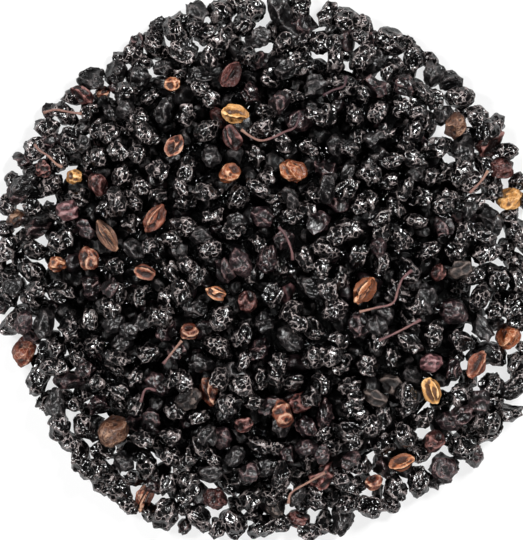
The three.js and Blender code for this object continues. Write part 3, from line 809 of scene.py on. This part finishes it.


# what kinds of skin have in common, and then each look with what differs
# in each look the fold colour is painted shade for creases and sides, and the ridge colour a painted
# highlight, on coloured berries also their paler ridge tone
darkSkin = {
    "foldShadeShare": 0.95, "sideShadeShare": 0.7, "ridgeBand": (0.66, 0.95), "bump": 0.4, "bumpDepth": 0.07,
    "coat": 0.0,
}
blackSkin = {
    **darkSkin,
    "dark": (0.0008, 0.0007, 0.0009), "foldShade": (0.0003, 0.0003, 0.0004), "ridgeShare": 0.25,
    "netShare": 0.9, "net": 1130.0, "ridgeWidth": 0.12, "bumpDepth": 0.08,
}
mutedSkin = {**darkSkin, "ridgeBand": (0.53, 0.82), "net": 1500.0, "bump": 0.6}
paleSkin = {
    "ridgeShare": 0.85, "netShare": 0.9, "foldShadeShare": 0.95, "sideShadeShare": 0.6, "ridgeBand": (0.53, 0.82),
    "roughness": (0.36, 0.52), "net": 1300.0, "ridgeWidth": 0.14, "bump": 0.8, "bumpDepth": 0.08,
    "coat": 0.05, "specular": 0.4,
}
skinLooks = {
    "glossyBlack": {
        **blackSkin,
        "light": (0.0025, 0.0018, 0.0022), "ridge": (0.38, 0.315, 0.305), "roughness": (0.1, 0.2),
        "specular": 0.65,
    },
    # a slightly darker copy of the glossy black skin for berries deep in the heap, as painted shade, and
    # rougher and less glossy
    "shadedBlack": {
        **blackSkin,
        "light": (0.002, 0.0015, 0.0018), "ridge": (0.36, 0.31, 0.305), "roughness": (0.3, 0.45),
        "bump": 0.3, "specular": 0.2,
    },
    "charcoal": {
        **darkSkin,
        "dark": (0.003, 0.0027, 0.003), "light": (0.009, 0.0075, 0.008), "ridge": (0.12, 0.102, 0.1),
        "foldShade": (0.001, 0.0008, 0.001), "ridgeShare": 0.4, "netShare": 0.7, "roughness": (0.26, 0.38),
        "net": 1300.0, "ridgeWidth": 0.14, "specular": 0.45,
    },
    "plum": {
        **darkSkin,
        "dark": (0.004, 0.0016, 0.0024), "light": (0.014, 0.006, 0.008), "ridge": (0.18, 0.108, 0.105),
        "foldShade": (0.001, 0.0005, 0.0007), "ridgeShare": 0.45, "netShare": 0.7, "roughness": (0.24, 0.4),
        "net": 1200.0, "ridgeWidth": 0.14, "specular": 0.5,
    },
    "mauve": {
        **mutedSkin,
        "dark": (0.09, 0.034, 0.038), "light": (0.2, 0.085, 0.09), "ridge": (0.34, 0.2, 0.2),
        "foldShade": (0.008, 0.003, 0.004), "ridgeShare": 0.6, "netShare": 0.15, "foldShadeShare": 0.9,
        "roughness": (0.35, 0.5), "ridgeWidth": 0.16, "bump": 0.4, "bumpDepth": 0.06, "specular": 0.45,
    },
    "umber": {
        **mutedSkin,
        "dark": (0.014, 0.0095, 0.0085), "light": (0.04, 0.027, 0.023), "ridge": (0.12, 0.09, 0.078),
        "foldShade": (0.003, 0.002, 0.002), "ridgeShare": 0.8, "netShare": 0.3, "foldShadeShare": 0.9,
        "roughness": (0.45, 0.6), "net": 1600.0, "ridgeWidth": 0.18, "specular": 0.35,
    },
    "gold": {
        **paleSkin,
        "dark": (0.34, 0.14, 0.03), "light": (0.58, 0.28, 0.08), "ridge": (0.8, 0.52, 0.25),
        "foldShade": (0.06, 0.02, 0.006), "sideShadeShare": 0.45, "roughness": (0.38, 0.55),
    },
    "orange": {
        **paleSkin,
        "dark": (0.15, 0.026, 0.005), "light": (0.36, 0.108, 0.036), "ridge": (0.68, 0.4, 0.24),
        "foldShade": (0.022, 0.005, 0.002),
    },
    "russet": {
        **paleSkin,
        "dark": (0.08, 0.011, 0.004), "light": (0.23, 0.06, 0.03), "ridge": (0.53, 0.31, 0.21),
        "foldShade": (0.01, 0.002, 0.0012),
    },
    "brown": {
        **mutedSkin,
        "dark": (0.045, 0.015, 0.007), "light": (0.16, 0.065, 0.035), "ridge": (0.42, 0.25, 0.16),
        "foldShade": (0.006, 0.002, 0.0015), "ridgeShare": 0.85, "netShare": 0.8, "roughness": (0.42, 0.58),
        "ridgeWidth": 0.17, "specular": 0.4,
    },
    "garnet": {
        **mutedSkin,
        "dark": (0.013, 0.002, 0.0018), "light": (0.06, 0.013, 0.011), "ridge": (0.28, 0.135, 0.12),
        "foldShade": (0.002, 0.0005, 0.0005), "ridgeShare": 0.75, "netShare": 0.6, "roughness": (0.28, 0.42),
        "ridgeWidth": 0.15, "specular": 0.3,
    },
}
skins = {name: makeSkin(name, look) for name, look in skinLooks.items()}
print("skins mixed:", len(skins))

# the black berries, sorted into piles by finish and side
piles = {}
finishLimits = (("charcoal", 0.14), ("plum", 0.28), ("glossyBlack", 1.0))


def addToPile(b, kinds, layer, grow):
    draw = picking()
    finish = b.get("finish") or next(name for name, limit in finishLimits if draw < limit)
    # berries deep in the heap take the shaded copy of the glossy black skin: painted shade
    if finish == "glossyBlack" and "exposed" in b:
        finish = "shadedBlack"
    side = ("Left" if b["x"] < 0 else "Right") if finish.endswith("Black") else ""
    kind = kinds[int(len(kinds) * picking())]
    piles.setdefault(f"{finish}{layer}{side}", (finish, []))[1].append(copyBerry(kind, b, grow))


# how much larger than its place each is made, the rim's most of all, as they lie open to view
growth = {
    "from": 0.72, "over": 0.2, "inner": 0.96, "outer": 0.17,
    "Loose": 1.0, "Nested": 1.02, "Underneath": 1.1,
}
# berries deep in the heap get only this share of the painted light on their tops, and more painted shade on
# their sides
shadedShare = 0.3
for b in black:
    outward = min(1, max(0, (shareAt(b["x"], b["y"]) - growth["from"]) / growth["over"]))
    grow = growth["inner"] + growth["outer"] * outward
    addToPile(b, plainKinds if b["hidden"] else fineKinds, "Berries", grow)
for b in looseBerries:
    addToPile(b, plainKinds if b["hidden"] else fineKinds, "Loose", growth["Loose"])
for b in gapBerries:
    b["exposed"] = shadedShare
    addToPile(b, plainKinds, "Nested", growth["Nested"])
for b in lowest:
    b["exposed"] = shadedShare
    b["floor"] = 0 if b["fixed"] else heap["floorGap"]
    addToPile(b, plainKinds, "Underneath", growth["Underneath"])
for name, (finish, copies) in piles.items():
    pile = joinAll(copies, name)
    pile.data.materials.clear()
    pile.data.materials.append(skins[finish])
    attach(pile, "root")
    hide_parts("black_berries")
print("piles of black berries:", len(piles))

# the coloured berries, each with its own folds
colouredShape = {
    "foldSize": 0.8, "foldDepth": 0.32, "netSize": 0.4, "netDepth": 0.12, "lumps": 0.4,
    "grainRound": 0.75, "grainLong": 0.3, "soften": 3, "seeds": (50, 3.7),
    "slender": 1.35,  # one longer than this has grooves: angle, depth and width
    "grooves": ((-0.85, 0.3, 0.5), (0.1, 0.38, 0.55), (0.95, 0.3, 0.5)),
    "stray": 0.3,
    "sizeRange": (0.85, 0.4), "depthRange": (0.8, 0.4),
    "dent": (0.6, 0.35, 0.9),  # how much it faces up, its depth and its width
    "slenderTint": (0.75, 0.25), "roundTint": (0.2, 0.25),
    "fineFrom": 3.9, "grow": 1.04,
}
for number, b in enumerate(coloured):
    slender = b["long"] / b["wide"] > colouredShape["slender"]
    turns = [(2 * picking() - 1) * colouredShape["stray"] for _ in range(3)]
    grooves = [(angle + turn, depth, width)
               for turn, (angle, depth, width) in zip(turns, colouredShape["grooves"])]
    dentUp, dentDepth, dentWidth = colouredShape["dent"]
    shape = {
        "seed": colouredShape["seeds"][0] + colouredShape["seeds"][1] * number,
        "grooves": grooves if slender else (),
        "grain": colouredShape["grainLong"] if slender else colouredShape["grainRound"],
        "lumps": colouredShape["lumps"],
        "foldSize": colouredShape["foldSize"] * within(colouredShape["sizeRange"], picking),
        "foldDepth": colouredShape["foldDepth"] * within(colouredShape["depthRange"], picking),
        "netSize": colouredShape["netSize"], "netDepth": colouredShape["netDepth"],
        "soften": colouredShape["soften"],
        "dents": [((2 * picking() - 1, 2 * picking() - 1, dentUp), dentDepth, dentWidth)],
    }
    b["tint"] = within(colouredShape["slenderTint" if slender else "roundTint"], picking)
    kind = modelBerry("colouredKind", shape, 5 if b["across"] > colouredShape["fineFrom"] else 4)
    piece = copyBerry(kind, b, colouredShape["grow"], spin=False)
    bpy.data.objects.remove(kind)
    piece.name = b["node"].replace("_berry_", "Berry")
    piece.data.name = piece.name
    piece.data.materials.append(skins[b["tone"]])
    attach(piece, "root")
    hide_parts(b["node"])
for kind in fineKinds + plainKinds:
    bpy.data.objects.remove(kind)
print("coloured berries:", len(coloured))


# height of the berries' upper side
def surfaceHeight(x, y):
    highest = max(centreHeight(x, y) - heap["coreSink"], heap["coreLowest"])
    for b in coloured + black:
        reach = b["long"] / 2 + stalks["clear"][0]
        off = ((b["x"] - x) ** 2 + (b["y"] - y) ** 2) / (reach * reach)
        if off < 1:
            highest = max(highest, b["z"] + (b["tall"] / 2 + stalks["clear"][1]) * math.sqrt(1 - off))
    return highest


# evenly spaced points on a smooth curve through the given ones
def smoothPath(points, step):
    given = [Vector(p) for p in points]
    ends = [2 * given[0] - given[1], *given, 2 * given[-1] - given[-2]]
    dense = []
    for before, a, b, after in zip(ends, ends[1:], ends[2:], ends[3:]):
        for i in range(stalks["curveSteps"]):
            t = i / stalks["curveSteps"]
            dense.append(0.5 * (2 * a + (b - before) * t + (2 * before - 5 * a + 4 * b - after) * t * t
                                + (3 * a - before - 3 * b + after) * t ** 3))
    dense.append(given[-1])
    along = np.concatenate([[0], np.cumsum([(q - p).length for p, q in zip(dense, dense[1:])])])
    count = max(4, round(along[-1] / step))
    at = np.linspace(0, along[-1], count + 1)
    return [Vector([float(np.interp(s, along, [p[k] for p in dense])) for k in range(2)]) for s in at]


stalkLook = {
    "young": (0.3, 0.165, 0.11), "dry": (0.13, 0.06, 0.06), "old": (0.03, 0.009, 0.014),
    "youngToDry": (0.4, 1.0), "dryToOld": (1.0, 1.5),
    "grain": (0.3, 0.7), "roughness": (0.4, 0.65), "net": 2400.0, "bump": 0.6, "bumpDepth": 0.06,
}


def makeStalkSkin():
    material = bpy.data.materials.new("dryStalk")
    material.use_nodes = True
    tree = material.node_tree
    shader = tree.nodes["Principled BSDF"]
    shrivel = addNode(tree, "ShaderNodeGroup", node_tree=shrivelGroup)
    shrivel.inputs["Net Scale"].default_value = stalkLook["net"]
    patch = combine(tree, "ADD", shrivel.outputs["Mottle"], readMark(tree, "tint"))
    dryness = remap(tree, patch, *stalkLook["youngToDry"], 0.0, 1.0)
    pale = blendColours(tree, dryness, stalkLook["young"], stalkLook["dry"])
    age = remap(tree, patch, *stalkLook["dryToOld"], 0.0, 1.0)
    tree.links.new(blendColours(tree, age, pale, stalkLook["old"]), shader.inputs["Base Color"])
    rough = remap(tree, shrivel.outputs["Grain"], *stalkLook["grain"], *stalkLook["roughness"])
    tree.links.new(rough, shader.inputs["Roughness"])
    bump = addNode(tree, "ShaderNodeBump", {
        "Height": shrivel.outputs["Height"],
        "Strength": stalkLook["bump"], "Distance": stalkLook["bumpDepth"] * mm})
    tree.links.new(bump.outputs["Normal"], shader.inputs["Normal"])
    return material


stalkSkin = makeStalkSkin()


def makeStalk(number, tints, points):
    plan = smoothPath(points, stalks["step"])
    tops = np.array([surfaceHeight(p.x, p.y) for p in plan])
    reach, span = stalks["easeReach"], stalks["easeSpan"]
    held = np.array([tops[max(0, i - reach):i + reach + 1].max() for i in range(len(tops))])
    eased = np.convolve(np.pad(held, span // 2, "edge"), np.ones(span) / span, "valid")
    atEnd, besideEnd = stalks["endSwell"]
    rippleDepth, ripplePace = stalks["ripple"]
    clearSelection()
    bpy.ops.curve.primitive_nurbs_path_add()
    line = bpy.context.active_object
    line.data.splines.clear()
    spline = line.data.splines.new("POLY")
    spline.points.add(len(plan) - 1)
    for i, (point, p, top) in enumerate(zip(spline.points, plan, eased)):
        point.co = (p.x * mm, p.y * mm, (top + stalks["radius"]) * mm, 1)
        toEnd = min(i, len(plan) - 1 - i)
        swelling = atEnd if toEnd == 0 else besideEnd if toEnd == 1 else 0
        point.radius = 1.0 + swelling - rippleDepth * math.sin(ripplePace * i)
    line.data.bevel_depth = stalks["radius"] * mm
    line.data.bevel_resolution = 3
    line.data.use_fill_caps = True
    bpy.ops.object.convert(target="MESH")
    stalk = bpy.context.active_object
    stalk.name = f"stalk{number}"
    bpy.ops.object.mode_set(mode="EDIT")
    bpy.ops.mesh.select_all(action="SELECT")
    bpy.ops.mesh.remove_doubles(threshold=1e-6)
    bpy.ops.mesh.normals_make_consistent(inside=False)
    bpy.ops.object.mode_set(mode="OBJECT")
    co = coordinates(stalk.data) / mm
    start, end = np.array(plan[0]), np.array(plan[-1])
    share = np.clip((co[:, :2] - start) @ (end - start) / ((end - start) @ (end - start)), 0, 1)
    tint = tints[0] + share * (tints[1] - tints[0])
    markPoints(stalk.data, "tint", tint)
    bpy.ops.object.shade_smooth()
    bpy.ops.object.transform_apply(location=True, rotation=True, scale=True)
    stalk.data.materials.append(stalkSkin)
    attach(stalk, "root")
    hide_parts(f"stalk_{number}")
    clearSelection()


for number, (tints, points) in enumerate(stalks["paths"], 1):
    makeStalk(number, tints, points)
print("stalks:", len(stalks["paths"]))

# what lies deepest in the heap, seen only as dark lumps through the gaps
deep = {
    "reach": 0.78, "below": 4.6, "floor": 1.2, "under": 0.5, "thin": 0.6,
    "lump": 4.0, "lumpPush": -1.2, "ridgeGain": 500,
}


def makeDeepMound():
    clearSelection()
    bpy.ops.mesh.primitive_ico_sphere_add(subdivisions=6, radius=1)
    mound = bpy.context.active_object
    mound.name = "deepBerries"
    co = coordinates(mound.data)
    for i, (x, y, z) in enumerate(co):
        flat = max(1e-9, math.hypot(x, y))
        out = math.asin(min(1, flat)) / (math.pi / 2) / flat * deep["reach"]
        px, py = x * out * heap["halfX"], y * out * heap["halfY"]
        top = max(centreHeight(px, py) - deep["below"], deep["floor"] + deep["thin"])
        co[i] = (px, py, top if z > 0 else deep["floor"] + deep["under"])
    mound.data.vertices.foreach_set("co", co.ravel())
    pushSkin(mound, "VORONOI", deep["lump"], deep["lumpPush"])
    mound.data.transform(Matrix.Scale(mm, 4))
    markRidges(mound.data, deep["ridgeGain"])
    # it has no upper mark, so its skin shows no painted highlights and takes the painted side shade all over
    markPoints(mound.data, "tint", np.zeros(len(co)))
    bpy.ops.object.shade_smooth()
    mound.data.materials.append(skins["glossyBlack"])
    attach(mound, "root")
    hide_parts("black_berries")
    clearSelection()


makeDeepMound()

# the white surface, the light and the camera
stage = {
    "surfaceHalf": 1.2,
    "surfaceColour": (0.2, 0.2, 0.2, 1),
    "surfaceGlow": 0.74,  # keeps shadows on it faint
    "photoWidth": 523, "photoHeight": 540,
    "mmPerPixel": 0.175,
    "viewCentre": (-0.09, -0.35),
    "cameraHeight": 600, "berryHeight": 6,  # framed at the height of most berries
    "sensorWidth": 36,
    "worldColour": (1, 1, 1, 1), "worldStrength": 0.06,
}
lamps = [
    {"name": "keyBox", "place": (0.5, 0.42, 0.6), "size": (0.2, 0.2), "power": 9.2},
    {"name": "leftBox", "place": (-0.55, 0.2, 0.55), "size": (0.18, 0.18), "power": 6.1},
    {"name": "frontBox", "place": (0.1, -0.6, 0.6), "size": (0.18, 0.18), "power": 4.6},
]


def makeStage():
    clearSelection()
    bpy.ops.mesh.primitive_plane_add(size=2 * stage["surfaceHalf"], location=(0, 0, 0))
    floor = bpy.context.active_object
    floor.name = "whiteSurface"
    material = bpy.data.materials.new("whiteSurface")
    material.use_nodes = True
    shader = material.node_tree.nodes["Principled BSDF"]
    shader.inputs["Base Color"].default_value = stage["surfaceColour"]
    shader.inputs["Roughness"].default_value = 0.9
    shader.inputs["Specular IOR Level"].default_value = 0.1
    shader.inputs["Emission Color"].default_value = (1, 1, 1, 1)
    shader.inputs["Emission Strength"].default_value = stage["surfaceGlow"]
    floor.data.materials.append(material)
    for lamp in lamps:
        light = bpy.data.lights.new(lamp["name"], "AREA")
        light.shape = "RECTANGLE"
        light.size, light.size_y = lamp["size"]
        light.energy = lamp["power"]
        holder = bpy.data.objects.new(lamp["name"], light)
        holder.location = lamp["place"]
        holder.rotation_euler = (-Vector(lamp["place"])).to_track_quat("-Z", "Y").to_euler()
        bpy.context.scene.collection.objects.link(holder)
    world = bpy.data.worlds.new("studio")
    world.use_nodes = True
    background = world.node_tree.nodes["Background"]
    background.inputs["Color"].default_value = stage["worldColour"]
    background.inputs["Strength"].default_value = stage["worldStrength"]
    bpy.context.scene.world = world
    bpy.context.scene.view_settings.view_transform = "Standard"
    camera = bpy.data.cameras.new("camera")
    camera.sensor_width = stage["sensorWidth"]
    halfLong = stage["photoHeight"] * stage["mmPerPixel"] / 2
    camera.lens = stage["sensorWidth"] / 2 * (stage["cameraHeight"] - stage["berryHeight"]) / halfLong
    camera.clip_start, camera.clip_end = 0.01, 10
    holder = bpy.data.objects.new("camera", camera)
    holder.location = (stage["viewCentre"][0] * mm, stage["viewCentre"][1] * mm, stage["cameraHeight"] * mm)
    bpy.context.scene.collection.objects.link(holder)
    bpy.context.scene.camera = holder


makeStage()
print("stage set")

bpy.context.view_layer.update()
